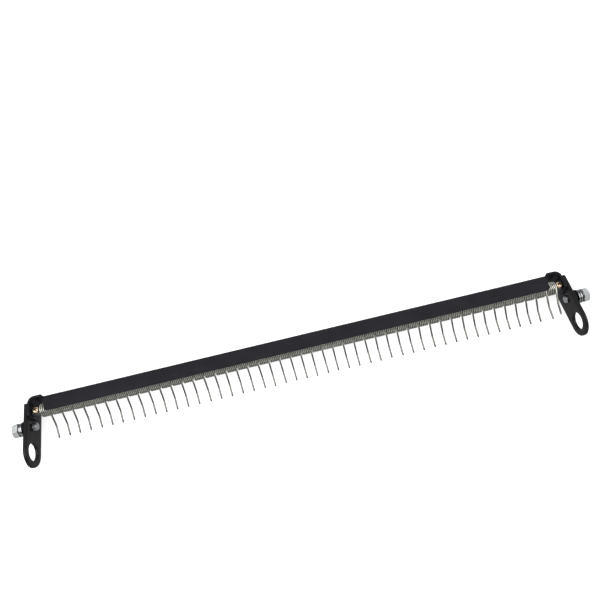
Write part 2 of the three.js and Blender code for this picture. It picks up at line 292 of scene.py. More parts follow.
def make_piece(name: str, surface: Surface, finish: Material, sheet: float = 0.0,
               bevel: float = 0.0, crease: float = 32.0) -> Object:
    """Make a mesh object from a surface, in its place in the row frame.

    Args:
        name: Name of the piece.
        surface: Its surface.
        finish: Its material.
        sheet: Thickness to give an open sheet, half to each side, or 0 for a closed surface.
        bevel: Width of the broken edges, or 0 to leave them.
        crease: Edges that turn by more than this angle, in degrees, stay sharp in the shading.

    Returns:
        The object, at the origin, with its place in its mesh.
    """
    mesh = bpy.data.meshes.new(name)
    mesh.from_pydata((surface.points * MM + ROD_CENTRE).tolist(), [], surface.faces)
    work = bmesh.new()
    work.from_mesh(mesh)
    bmesh.ops.remove_doubles(work, verts=work.verts, dist=1e-6)
    bmesh.ops.dissolve_degenerate(work, dist=1e-7, edges=work.edges)
    bmesh.ops.recalc_face_normals(work, faces=work.faces)
    work.to_mesh(mesh)
    work.free()
    mesh.materials.append(finish)
    piece = bpy.data.objects.new(name, mesh)
    bpy.context.scene.collection.objects.link(piece)
    if sheet:
        solidify = piece.modifiers.new("thickness", "SOLIDIFY")
        solidify.thickness = sheet * MM
        solidify.offset = 0.0
        solidify.use_even_offset = True
    if bevel:
        broken = piece.modifiers.new("broken_edges", "BEVEL")
        broken.width = bevel * MM
        broken.segments = 2
        broken.limit_method = "ANGLE"
        broken.angle_limit = math.radians(40.0)
        broken.harden_normals = False
    if sheet or bevel:
        applied(piece)
    piece.data.polygons.foreach_set("use_smooth", np.ones(len(piece.data.polygons), bool))
    piece.data.set_sharp_from_angle(angle=math.radians(crease))
    return piece


def cut(piece: Object, cutter: Surface) -> Object:
    """Cut a closed surface out of a piece."""
    tool = make_piece("cutter", cutter, piece.data.materials[0])
    modifier = piece.modifiers.new("hole", "BOOLEAN")
    modifier.operation = "DIFFERENCE"
    modifier.solver = "EXACT"
    modifier.object = tool
    bpy.context.view_layer.update()
    applied(piece)
    bpy.data.objects.remove(tool)
    return piece


def settle(piece: Object, slot: str, *nodes: str) -> Object:
    """Fix a piece to the comb's frame and name the CAD nodes that it stands for."""
    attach(piece, FRAME_BODY)
    if nodes:
        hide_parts(*nodes)
    LOG.info("%s stands for %s", piece.name, ", ".join(nodes) or "no CAD node")
    return piece


# ---------------------------------------------------------------- finishes


def linear(colour: str) -> tuple[float, float, float, float]:
    """Turn an sRGB hex colour into linear red, green, blue and alpha."""
    channel = np.array([int(colour[i:i + 2], 16) for i in (1, 3, 5)]) / 255.0
    value = np.where(channel <= 0.04045, channel / 12.92, ((channel + 0.055) / 1.055) ** 2.4)
    return (*value.tolist(), 1.0)


def add_node(tree: Tree, kind: str, inputs: dict | None = None, **settings) -> bpy.types.Node:
    """Add a node with its settings and links.

    Args:
        tree: Node tree of a material or a world.
        kind: Node type.
        inputs: Input names or numbers, each with a value or with the socket that feeds it.
        **settings: Properties of the node.

    Returns:
        The node.
    """
    node = tree.nodes.new(kind)
    for name, value in settings.items():
        setattr(node, name, value)
    for key, value in (inputs or {}).items():
        if isinstance(value, Socket):
            tree.links.new(value, node.inputs[key])
        else:
            node.inputs[key].default_value = value
    return node


def ramp(tree: Tree, factor: Socket, stops: list) -> Socket:
    """Colour that follows a factor through (position, hex colour) stops."""
    node = add_node(tree, "ShaderNodeValToRGB", {"Fac": factor})
    elements = node.color_ramp.elements
    while len(elements) < len(stops):
        elements.new(0.5)
    for element, (position, colour) in zip(elements, stops):
        element.position = position
        element.color = linear(colour)
    return node.outputs["Color"]


def new_material(name: str) -> tuple[Material, Tree, Socket]:
    """An empty material, its node tree, and its Object coordinates."""
    material = bpy.data.materials.new(name)
    material.use_nodes = True
    tree = material.node_tree
    tree.nodes.clear()
    place = add_node(tree, "ShaderNodeTexCoord").outputs["Object"]
    return material, tree, place


def noise(tree: Tree, place: Socket, size_mm: float, detail: float = 3.0,
          stretch: tuple = (1.0, 1.0, 1.0)) -> Socket:
    """Noise whose blotches are about size_mm across, drawn out along an axis by its stretch."""
    scale = [1.0 / factor for factor in stretch]
    mapped = add_node(tree, "ShaderNodeMapping", {"Vector": place, "Scale": scale}).outputs["Vector"]
    node = add_node(tree, "ShaderNodeTexNoise", {"Vector": mapped, "Scale": 1.0 / (size_mm * MM),
                                                 "Detail": detail, "Roughness": 0.55})
    return node.outputs["Fac"]


def between(tree: Tree, factor: Socket, low: float,
            high: float) -> Socket:
    """A value that goes from low to high as a noise factor goes from 0.3 to 0.7."""
    node = add_node(tree, "ShaderNodeMapRange", {"Value": factor, "From Min": 0.3, "From Max": 0.7,
                                                 "To Min": low, "To Max": high})
    return node.outputs["Result"]


def relief(tree: Tree, height: Socket, depth_mm: float,
           under: Socket | None = None) -> Socket:
    """Bump of a real depth, laid on the bump under it."""
    inputs = {"Height": height, "Strength": 1.0, "Distance": depth_mm * MM}
    if under is not None:
        inputs["Normal"] = under
    return add_node(tree, "ShaderNodeBump", inputs).outputs["Normal"]


def painted_gap_shade(tree: Tree, colour: Socket, reach_mm: float,
           gap_shade_colour: str) -> Socket:
    """Colour that darkens to a painted shade in gaps and hollows narrower than about reach_mm.

    The painted shade is whole where less than half of the surroundings is open, and gone where nine tenths
    are.
    """
    # Painted shade: ambient occlusion mixes the colour towards a dark shade colour in the gaps between parts.
    openness = add_node(tree, "ShaderNodeAmbientOcclusion", {"Distance": reach_mm * MM}, samples=8)
    unshaded = add_node(tree, "ShaderNodeMapRange", {"Value": openness.outputs["AO"], "From Min": 0.5,
                                                  "From Max": 0.9})
    mixed = add_node(tree, "ShaderNodeMix", {0: unshaded.outputs["Result"], 6: linear(gap_shade_colour), 7: colour},
                     data_type="RGBA")
    return mixed.outputs[2]


def output(tree: Tree, shader: dict) -> None:
    """Close a material with one Principled shader."""
    principled = add_node(tree, "ShaderNodeBsdfPrincipled", shader)
    add_node(tree, "ShaderNodeOutputMaterial", {"Surface": principled.outputs["BSDF"]})


@dataclass(frozen=True)
class BlackEnamel:
    """Stoved black enamel on mild steel: a smooth, half-gloss coat with a faint orange peel.

    The coat flows out before it sets, which leaves ripples a millimetre or two across, and handling leaves
    faint pale scuffs that run along the piece.
    """

    name: str
    deep: str
    light: str
    roughness: float = 0.36
    shine: float = 0.25
    peel_mm: float = 1.3
    peel_depth_mm: float = 0.012

    def build(self) -> Material:
        """Make the material."""
        material, tree, place = new_material(self.name)
        patches = noise(tree, place, 22.0, 4.0)
        colour = ramp(tree, patches, [(0.30, self.deep), (0.72, self.light)])
        scuffs = noise(tree, place, 0.9, 2.0, (14.0, 1.0, 1.0))
        scuffed = add_node(tree, "ShaderNodeMapRange", {"Value": scuffs, "From Min": 0.66, "From Max": 0.80,
                                                        "To Min": 0.0, "To Max": 0.22})
        mixed = add_node(tree, "ShaderNodeMix", {0: scuffed.outputs["Result"], 6: colour,
                                                 7: linear("#6d6c70")}, data_type="RGBA")
        specks = noise(tree, place, 0.45, 1.0)
        gloss = between(tree, noise(tree, place, 9.0, 5.0), self.roughness - 0.05, self.roughness + 0.09)
        peel = relief(tree, noise(tree, place, self.peel_mm, 1.0), self.peel_depth_mm)
        grain = relief(tree, specks, 0.004, peel)
        output(tree, {"Base Color": mixed.outputs[2], "Roughness": gloss, "Normal": grain, "IOR": 1.5,
                      "Specular IOR Level": self.shine})
        return material


@dataclass(frozen=True)
class PlatedSteel:
    """Electroplated zinc on a turned or pressed fastener: bright, slightly cloudy metal.

    The plating dulls in soft clouds a few millimetres across, over the fine rings that cutting leaves, and
    painted shade darkens the gaps between the washers and the screw's recess.
    """

    name: str
    stops: tuple
    roughness: float = 0.27
    cloud_mm: float = 3.5
    gap_mm: float = 2.0

    def build(self) -> Material:
        """Make the material."""
        material, tree, place = new_material(self.name)
        clouds = noise(tree, place, self.cloud_mm, 4.0)
        colour = ramp(tree, clouds, list(self.stops))
        gloss = between(tree, noise(tree, place, 1.6, 3.0), self.roughness - 0.06, self.roughness + 0.12)
        grain = relief(tree, noise(tree, place, 0.35, 2.0), 0.006)
        # Painted shade: the dark colour #1b1a19 fills the gaps between washers, the screw's recess and the
        # hollows round the rod.
        metal = painted_gap_shade(tree, colour, self.gap_mm, "#1b1a19")
        output(tree, {"Base Color": metal, "Metallic": 1.0, "Roughness": gloss, "Normal": grain})
        return material


@dataclass(frozen=True)
class SpringWire:
    """Cold-drawn and tempered spring wire: grey metal with a trace of straw and oil.

    Drawing leaves fine lines along the wire, which are too fine to show, so they are drawn as a short grain
    about a third of a millimetre across. Tempering leaves straw-coloured and grey lengths, and painted shade
    darkens the grooves between the coils, so that each turn reads as a light bar beside a dark one. Beyond
    coil_edge_mm from the rod the wire turns a darker grey over fade_mm, a painted shade on the tines. That is
    a fit, which keeps thin wire from washing out against the white floor, and not a finish that the part is
    known to have.
    """

    name: str
    roughness: float = 0.3
    gap_mm: float = 1.3
    coil_edge_mm: float = 7.5
    fade_mm: float = 3.0
    tine_painted_shade: float = 0.8

    def build(self) -> Material:
        """Make the material."""
        material, tree, place = new_material(self.name)
        lengths = noise(tree, place, 7.0, 3.0)
        colour = ramp(tree, lengths, [(0.30, "#c6c5bc"), (0.52, "#d3d2c9"), (0.72, "#dfddd5")])
        spots = noise(tree, place, 1.1, 3.0)
        stained = add_node(tree, "ShaderNodeMapRange", {"Value": spots, "From Min": 0.58, "From Max": 0.78,
                                                        "To Min": 0.0, "To Max": 0.4})
        mixed = add_node(tree, "ShaderNodeMix", {0: stained.outputs["Result"], 6: colour,
                                                 7: linear("#89877b")}, data_type="RGBA")
        # Painted shade: beyond coil_edge the wire mixes towards the darker grey #7f7e79, so the tines read
        # darker than the coils.
        coil_edge = float(ROD_CENTRE[1]) - self.coil_edge_mm * MM
        beyond = add_node(tree, "ShaderNodeMapRange", {
            "Value": add_node(tree, "ShaderNodeSeparateXYZ", {"Vector": place}).outputs["Y"],
            "From Min": coil_edge, "From Max": coil_edge - self.fade_mm * MM,
            "To Min": 0.0, "To Max": self.tine_painted_shade})
        tine_shaded = add_node(tree, "ShaderNodeMix", {0: beyond.outputs["Result"], 6: mixed.outputs[2],
                                                   7: linear("#7f7e79")}, data_type="RGBA")
        gloss = between(tree, noise(tree, place, 2.2, 3.0), self.roughness - 0.05, self.roughness + 0.08)
        grain = relief(tree, noise(tree, place, 0.33, 2.0, (1.0, 3.0, 3.0)), 0.002)
        # Painted shade: the dark colour #191814 fills the grooves between the coils.
        metal = painted_gap_shade(tree, tine_shaded.outputs[2], self.gap_mm, "#191814")
        output(tree, {"Base Color": metal, "Metallic": 1.0, "Roughness": gloss, "Normal": grain})
        return material


@dataclass
class Finishes:
    """Every material of the comb bar, made once."""

    channel: Material = field(default_factory=lambda: BlackEnamel(
        "black_enamel_folded_sheet", "#1b1a20", "#242329", roughness=0.42, shine=0.2).build())
    bracket: Material = field(default_factory=lambda: BlackEnamel(
        "black_enamel_bent_sheet", "#15141a", "#1d1c24", roughness=0.30, shine=0.22).build())
    arm: Material = field(default_factory=lambda: BlackEnamel(
        "black_enamel_flat_bar", "#161618", "#1f1f20", roughness=0.16, shine=0.22, peel_mm=1.7).build())
    zinc: Material = field(default_factory=lambda: PlatedSteel(
        "bright_zinc_plated_bolt", ((0.3, "#c8cccf"), (0.55, "#dfe2e3"), (0.75, "#ebebe6"))).build())
    washer: Material = field(default_factory=lambda: PlatedSteel(
        "bright_zinc_plated_washer", ((0.3, "#989c9f"), (0.7, "#bcbebd")), roughness=0.2).build())
    chromate: Material = field(default_factory=lambda: PlatedSteel(
        "yellow_chromate_screw",
        ((0.30, "#ecb9ac"), (0.45, "#efd8b6"), (0.58, "#e8c9a0"), (0.74, "#cccbab")),
        roughness=0.2, cloud_mm=2.6).build())
    wire: Material = field(default_factory=lambda: SpringWire("drawn_spring_wire").build())
    rod: Material = field(default_factory=lambda: PlatedSteel(
        "bright_drawn_bar", ((0.3, "#8f908e"), (0.7, "#adaeab")), roughness=0.3).build())


# ---------------------------------------------------------------- springs


@dataclass
class SpringRow:
    """The row of torsion springs on the rod: rear leg, close coils and bent tine, one wire each.

    The springs in slack sit swung forward by an angle in degrees, with a sideways drift of their own.
    """

    finishes: Finishes
    wire_radius: float = 0.88
    coil_middle: float = 6.3
    coil_length: float = 10.65
    crowding: float = 0.75
    coil_turns: int = 5
    leg_angle: float = 30.0
    tine_angle: float = 46.4
    tip_angle: float = 26.0
    upper_length: float = 17.5
    lower_length: float = 12.0
    bend_radius: float = 7.0
    lean: float = 0.037
    leg_length: float = 8.8
    steps_per_turn: int = 26
    sides: int = 10
    longest_step: float = 3.5
    turn_spread: float = 1.1
    lean_spread: float = 0.008
    seed: int = 48
    slack: dict = field(default_factory=lambda: {
        "spring_tine_47": (12.0, 0.0), "spring_tine_48": (30.0, -0.2)})

    def coil(self) -> np.ndarray:
        """Centre line of the coils.

        (x, R cos a, R sin a), where a goes from the rear leg's angle through five whole turns and on to
        where the tine leaves. x goes evenly from one end of the spring to the other, and starts further left
        by the crowding, so that the first coil closes the gap beside the neighbour's tine.
        """
        start = math.radians(self.leg_angle)
        leave = math.radians(90.0 + self.tine_angle)
        steps = self.coil_turns * self.steps_per_turn + self.steps_per_turn // 3
        angle = np.linspace(start, leave + self.coil_turns * TURN, steps)
        reach = self.coil_length / 2.0 - self.wire_radius
        x = np.linspace(-reach - self.crowding, reach, steps)
        return joined(x, self.coil_middle * np.cos(angle), self.coil_middle * np.sin(angle))

    def leg(self, end: np.ndarray) -> np.ndarray:
        """Rear leg: a straight run off the coil, up and back, until it bears on the channel's top."""
        angle = math.radians(self.leg_angle)
        back = np.array([0.0, math.sin(angle), -math.cos(angle)])
        return end + back * np.linspace(self.leg_length, 0.0, 6)[:-1, None]

    def tine(self, root: np.ndarray, turn: float, lean: float) -> np.ndarray:
        """Tine from its root: straight, a soft bend, straight to the tip.

        Args:
            root: Last point of the coils.
            turn: Small turn of this tine about the rod, in degrees.
            lean: Sideways drift for each millimetre of tine.
        """
        upper, lower = np.radians([self.tine_angle, self.tip_angle])
        bend = -self.upper_length * np.array([math.cos(upper), math.sin(upper)])
        tip = bend - self.lower_length * np.array([math.cos(lower), math.sin(lower)])
        flat = densify(rounded_path([(0.0, 0.0), bend, tip], [self.bend_radius], 6), self.longest_step)[1:]
        length = np.linalg.norm(np.diff(np.vstack([[0.0, 0.0], flat]), axis=0), axis=1).cumsum()
        swing = math.radians(turn) * (length / length[-1])[:, None]
        flat = flat * np.cos(swing) + np.stack([-flat[:, 1], flat[:, 0]], axis=-1) * np.sin(swing)
        return joined(root[0] + lean * length, root[1] + flat[:, 0], root[2] + flat[:, 1])

    @staticmethod
    def swung(path: np.ndarray, forward: float) -> np.ndarray:
        """A path swung forward by a degrees about the rod: (y cos a + z sin a, z cos a - y sin a)."""
        angle = math.radians(forward)
        x, y, z = path.T
        return joined(x, y * math.cos(angle) + z * math.sin(angle), z * math.cos(angle) - y * math.sin(angle))

    def build(self) -> None:
        """Make one piece for each spring node, placed along the rod at its own joint."""
        chance = np.random.default_rng(self.seed)
        coil = self.coil()
        joints = {joint["child"]: joint for joint in frame["joints"]}
        bodies = frame["record"]["behaviour"]["bodies"]
        for body, joint in joints.items():
            node = bodies[body][0]
            middle = (joint["pos_m"][0] - ROD_CENTRE[0]) / MM
            turn, drift = chance.normal(0.0, [self.turn_spread, self.lean_spread])
            forward, lean = self.slack.get(node, (0.0, self.lean))
            path = np.vstack([self.leg(coil[0]), coil, self.tine(coil[-1], turn, lean + drift)])
            path = self.swung(path, forward)
            surface = swept_wire(path + [middle, 0.0, 0.0], self.wire_radius, self.sides)
            piece = make_piece(f"torsion_{node}", surface, self.finishes.wire, crease=50.0)
            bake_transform(piece)
            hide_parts(node)
        LOG.info("%d torsion springs", len(joints))


# ---------------------------------------------------------------- rod and channel


@dataclass
class Rod:
    """Drawn bar through the springs, flattened at both ends for its screws."""

    finishes: Finishes
    chamfer: float = 0.5
    flat_height: float = 3.2
    steps: int = 64

    def flat(self, side: Side) -> tuple[float, float]:
        """Start and end of one flat, which reaches as far inward from its screw as outward."""
        low, high = node_box(f"rod_screw_{side.label}")
        screw = (low[0] + high[0]) / 2.0
        plate = side.value * (x_reach(f"end_bracket_{side.label}")[1] - EndBracket.sheet)
        start, end = sorted((plate, 2.0 * screw - plate))
        return start, end

    def build(self) -> None:
        """Make the rod: a turned bar whose height is cut off at the flats near its ends."""
        low, high = node_box("spring_rod")
        radius = (high[1] - low[1]) / 2.0
        half = (high[0] - low[0]) / 2.0
        step = 0.01
        flats = [self.flat(side) for side in Side]
        edges = [edge + shift for flat in flats for edge, shift in zip(flat, (-step, step))]
        inside = [edge for flat in flats for edge in flat]
        bevel = half - self.chamfer
        x = np.sort(np.array([-half, -bevel, 0.0, bevel, half] + edges + inside))
        size = np.where(np.abs(x) > bevel + step, radius - self.chamfer, radius)
        angle = np.linspace(0.0, TURN, self.steps, endpoint=False)
        y, z = size[:, None] * np.cos(angle), size[:, None] * np.sin(angle)
        on_flat = np.any([(x >= start - step / 2) & (x <= end + step / 2) for start, end in flats], axis=0)
        z = np.where(on_flat[:, None], np.minimum(z, self.flat_height), z)
        surface = grid(joined(x[:, None], y, z), close_columns=True, caps=True)
        settle(make_piece("ground_rod", surface, self.finishes.rod), "rod_steel", "spring_rod")


@dataclass
class Channel:
    """Folded sheet channel over the springs, with its front wall's lower corners rounded."""

    finishes: Finishes
    wall: float = 1.5
    bend: float = 2.5
    lip_corner: float = 4.0
    back_lip: float = 1.5
    columns: int = 48

    def build(self) -> None:
        """Make the sheet: its section's middle line carried along X, then given its thickness."""
        low, high = node_box("channel")
        middle = self.wall / 2.0
        front, back, top = high[2] - middle, low[2] + middle, high[1] - middle
        section = rounded_path([(front, low[1]), (front, top), (back, top), (back, self.back_lip)],
                               [self.bend - middle] * 2)
        quarter = np.linspace(0.0, TURN / 4.0, 9)[1:]
        heights = low[1] + self.lip_corner * (1.0 - np.cos(quarter))
        corner_rows = np.column_stack([np.full_like(heights, front), heights])
        section = np.vstack([section[:1], corner_rows, densify(section[1:], 4.0)])
        along = np.sin(np.linspace(-1.0, 1.0, self.columns) * TURN / 4.0)
        on_front = np.arange(len(section)) <= len(corner_rows)
        inset = corner_inset(section[:, 1] - low[1], self.lip_corner)
        half = np.where(on_front, high[0] - inset, high[0])
        points = joined(half[:, None] * along, section[:, 1:], section[:, :1])
        piece = make_piece("folded_channel", grid(points), self.finishes.channel, sheet=self.wall, bevel=0.3)
        settle(piece, "channel_paint", "channel")


# ---------------------------------------------------------------- end pieces


@dataclass
class EndBracket:
    """Bent sheet bracket between the channel's end and the arm."""

    finishes: Finishes
    side: Side
    sheet: float = 2.3
    bend: float = 6.5
    tongue_front: float = 2.0
    tongue_back: float = -13.0
    flange_end: float = 264.0
    front_corner: float = 3.0
    back_corner: float = 9.0
    rod_clearance: float = 0.3
    weld: float = 1.1

    def build(self) -> None:
        """Make the sheet from its bent middle line, add the tongue, and cut the rod's hole."""
        low, high = node_box(f"end_bracket_{self.side.label}")
        tongue_end, outer = x_reach(f"end_bracket_{self.side.label}")
        middle = self.sheet / 2.0
        x_plate, y_flange, foot = outer - middle, high[1] - middle, low[1]
        run = rounded_path([(self.flange_end, y_flange), (x_plate, y_flange), (x_plate, foot)],
                           [self.bend - middle], 10)
        run = densify(run, 4.0)
        quarter = np.linspace(TURN / 4.0, 0.0, 13)[:-1]
        near_foot = np.append(foot + self.back_corner * (1.0 - np.cos(quarter)), foot)
        run = np.vstack([run[run[:, 1] > foot + self.back_corner],
                         np.column_stack([np.full_like(near_foot, x_plate), near_foot])])
        depth = np.array([high[2], 5.0, self.tongue_front, -5.5, self.tongue_back, low[2]])
        front = high[2] - corner_inset(run[:, 1] - foot, self.front_corner)
        back = low[2] + corner_inset(run[:, 1] - foot, self.back_corner)
        share = (depth - low[2]) / (high[2] - low[2])
        z = back[:, None] + share * (front - back)[:, None]
        tongue_x = np.linspace(self.flange_end, tongue_end, 4)[:, None]
        surface = (grid(joined(self.side.value * run[:, :1], run[:, 1:], z))
                   + grid(joined(self.side.value * tongue_x, y_flange, depth[2:5])))
        piece = make_piece(f"bent_bracket_{self.side.label}", surface, self.finishes.bracket,
                           sheet=self.sheet, bevel=0.3)
        rod_low, rod_high = node_box("spring_rod")
        radius = (rod_high[1] - rod_low[1]) / 2.0 + self.rod_clearance
        drill = np.array([[x_plate - 3.0, 0.0], [x_plate - 3.0, radius], [outer + 3.0, radius],
                          [outer + 3.0, 0.0]])
        cut(piece, turned(drill, (0.0, 0.0), self.side, 48))
        settle(piece, "bracket_paint", f"end_bracket_{self.side.label}")
        self.build_welds(outer, foot, tongue_end)

    def build_welds(self, outer: float, foot: float, tongue_end: float) -> None:
        """Make the weld beads: at the front seam, the arm's top, the foot and the tongue.

        Args:
            outer: Distance of the side plate's outer face from the bar's middle.
            foot: Height of the plate's lower edge.
            tongue_end: Distance of the tongue's end from the bar's middle.
        """
        s = self.side.value
        arm_top, arm_front = node_box(f"arm_{self.side.label}")[1][1:]
        seam = s * (outer + 0.15)
        channel_top = node_box("channel")[1][1]
        seam_z = arm_front - 0.55
        beads = {
            "seam_weld": weld_bead((seam, foot + 3.0, seam_z), (seam, arm_top - 2.6, seam_z), self.weld),
            "top_weld": weld_bead((seam, arm_top, 5.0), (seam, arm_top, -13.5), self.weld + 0.2),
            "foot_weld": weld_bead((seam, foot, 4.0), (seam, foot, -5.0), self.weld),
            "tongue_weld": weld_bead((s * tongue_end, channel_top, 1.0),
                                     (s * tongue_end, channel_top, -8.0), self.weld + 0.2),
        }
        for name, bead in beads.items():
            piece = make_piece(f"{name}_{self.side.label}", bead, self.finishes.bracket, crease=80.0)
            settle(piece, "bracket_paint")


@dataclass
class Arm:
    """Flat arm with its shaft hole and bolt hole, and the nut welded on its outer face."""

    finishes: Finishes
    side: Side
    plate: float = 3.0
    top_corner: float = 2.5
    shaft_hole: float = 8.8
    bolt_hole: float = 4.3
    hex_flats: float = 13.0
    bead: float = 1.6

    def __post_init__(self) -> None:
        """Read the arm's place from its CAD node."""
        low, high = node_box(f"arm_{self.side.label}")
        self.inner, self.nut_end = x_reach(f"arm_{self.side.label}")
        self.outer = self.inner + self.plate
        self.front, self.back, self.top = high[2], low[2], high[1]
        self.radius = (self.front - self.back) / 2.0
        self.hole_y = low[1] + self.radius
        self.middle = (self.front + self.back) / 2.0
        bolt_low, bolt_high = node_box(f"bolt_{self.side.label}")
        self.bolt_y = (bolt_low[1] + bolt_high[1]) / 2.0

    def region(self, outline: np.ndarray, centre_y: float, radius: float, rings: int = 4) -> Surface:
        """Flat ring-shaped sheet between an outline and a round hole.

        Each outline point is joined straight to the hole's edge at its own angle from the hole's centre.
        """
        offset = outline - [centre_y, self.middle]
        edge = radius * offset / np.linalg.norm(offset, axis=1, keepdims=True)
        share = np.linspace(0.0, 1.0, rings)[:, None, None]
        flat = offset[None] * (1.0 - share) + edge[None] * share + [centre_y, self.middle]
        x = np.full(flat.shape[:2] + (1,), self.side.value * (self.inner + self.outer) / 2.0)
        return grid(np.concatenate([x, flat], axis=-1), close_columns=True)

    def plate_surface(self) -> Surface:
        """Two ring-shaped sheets, about the shaft hole and about the bolt hole, that share one line."""
        share_y = (self.hole_y + self.bolt_y) / 2.0
        across = np.linspace(self.back, self.front, 13)
        line = np.column_stack([np.full_like(across, share_y), across])
        round_end = np.linspace(TURN / 4.0, 3.0 * TURN / 4.0, 49)
        tip = np.column_stack([self.hole_y + self.radius * np.cos(round_end),
                               self.middle + self.radius * np.sin(round_end)])
        lower = np.vstack([line, densify(np.vstack([line[-1:], tip, line[:1]]), 2.0)[1:-1]])
        corners = rounded_path([(share_y, self.front), (self.top, self.front), (self.top, self.back),
                                (share_y, self.back)], [self.top_corner] * 2, 5)
        upper = np.vstack([line[::-1], densify(corners[::-1], 2.0)[1:-1]])
        return (self.region(lower, self.hole_y, self.shaft_hole)
                + self.region(upper, self.bolt_y, self.bolt_hole))

    def build(self) -> None:
        """Make the plate, the nut and its weld bead."""
        label = self.side.label
        plate = make_piece(f"flat_arm_{label}", self.plate_surface(), self.finishes.arm, sheet=self.plate,
                           bevel=0.45)
        settle(plate, "arm_paint", f"arm_{label}")
        centre = (self.bolt_y, self.middle)
        nut = hex_body(self.side, centre, self.outer, self.nut_end, self.hex_flats, self.bolt_hole)
        settle(make_piece(f"weld_nut_{label}", nut, self.finishes.arm, crease=28.0), "arm_paint")
        bead = self.weld_ring(centre)
        settle(make_piece(f"nut_weld_{label}", bead, self.finishes.arm, crease=80.0), "arm_paint")

    def weld_ring(self, centre: tuple) -> Surface:
        """Rippled fillet round the nut's foot.

        A quarter-round section of size b (1 + 0.12 sin 26a) follows the hexagon's corners at each angle a.
        """
        angle = np.linspace(0.0, TURN, 156, endpoint=False)
        reach = hex_reach(angle, self.hex_flats) - 0.4
        size = self.bead * (1.0 + 0.12 * np.sin(26.0 * angle))
        section = np.linspace(0.0, TURN / 4.0, 5)
        out = np.vstack([np.zeros_like(angle), size * np.cos(section[:, None]), np.zeros_like(angle)])
        up = np.vstack([np.full_like(angle, -0.1), size * np.sin(section[:, None]),
                        np.full_like(angle, -0.1)])
        radius = reach + out
        return grid(around(self.outer + up, radius, angle, centre, self.side), close_columns=True,
                    close_rows=True)


def hex_reach(angle: np.ndarray, flats: float) -> np.ndarray:
    """Distance from a hexagon's centre to its edge; the first corner is at angle 0."""
    sixth = TURN / 6.0
    return flats / 2.0 / np.cos((angle % sixth) - sixth / 2.0)


def hex_body(side: Side, centre: tuple, start: float, end: float, flats: float, bore: float) -> Surface:
    """Hexagonal nut or head along X, chamfered at its outer end.

    At radius r from the axis the outer face lies at end - (r - c) tan 30 beyond the chamfer circle c, so
    the chamfer leaves curved edges on the flats. Rings go from the bore out to the hexagon and back.

    Args:
        side: End of the bar.
        centre: (y, z) of the axis.
        start: Distance of the inner face from the bar's middle.
        end: Distance of the outer face.
        flats: Size across flats.
        bore: Radius of the bore, or 0 for a solid head.

    Returns:
        The closed surface.
    """
    angle = np.linspace(0.0, TURN, 72, endpoint=False)
    reach = hex_reach(angle, flats)
    chamfer = flats / 2.0 * 0.95
    inner = np.full_like(angle, bore)
    rim = np.minimum(reach, chamfer)
    rings = [inner, rim] + [rim + (reach - rim) * share for share in (0.25, 0.5, 0.75, 1.0)] + [reach, inner]
    radius = np.array(rings)
    x = end - np.maximum(radius - chamfer, 0.0) * math.tan(math.radians(30.0))
    x[-2:] = start
    return grid(around(x, radius, angle, centre, side), close_columns=True, close_rows=bool(bore))


